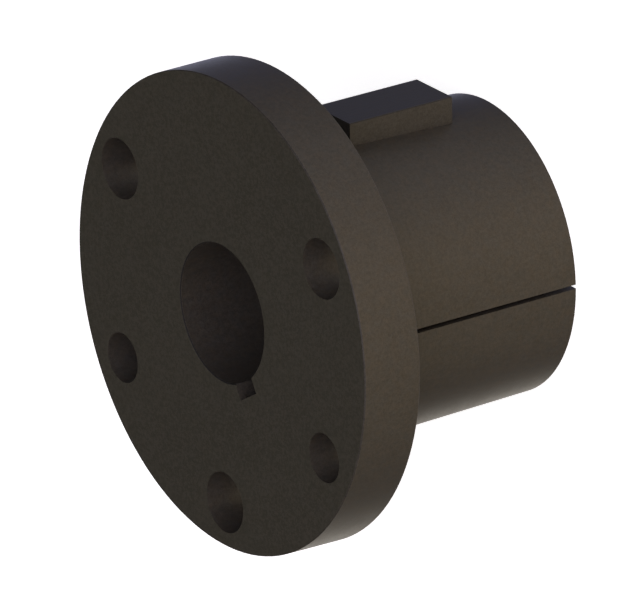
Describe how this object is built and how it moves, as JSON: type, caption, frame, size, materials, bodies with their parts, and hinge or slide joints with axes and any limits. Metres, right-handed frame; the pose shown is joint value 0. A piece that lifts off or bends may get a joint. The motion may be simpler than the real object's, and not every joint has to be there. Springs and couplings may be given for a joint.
{
  "type": "taper bush",
  "caption": "Flanged taper bush: a split tapered barrel with a keyed bore, a drive key on its outside, and clamping and jacking holes in its flange.",
  "frame": {"origin": "centre of the bore at the barrel's small end, which the bush stands on", "axes": "+Z along the bore, towards the flange's outer face; +X through the slit; +Y through the drive key"},
  "size_m": [0.0762, 0.0762, 0.0497],
  "materials": {
    "bush_iron": "matt brown-black oxide with a fine even grain",
    "key_steel": "matt brown-black oxide on drawn bar"
  },
  "bodies": {
    "root": {"bush_body": "bush_iron", "drive_key": "key_steel"}
  },
  "joints": []
}
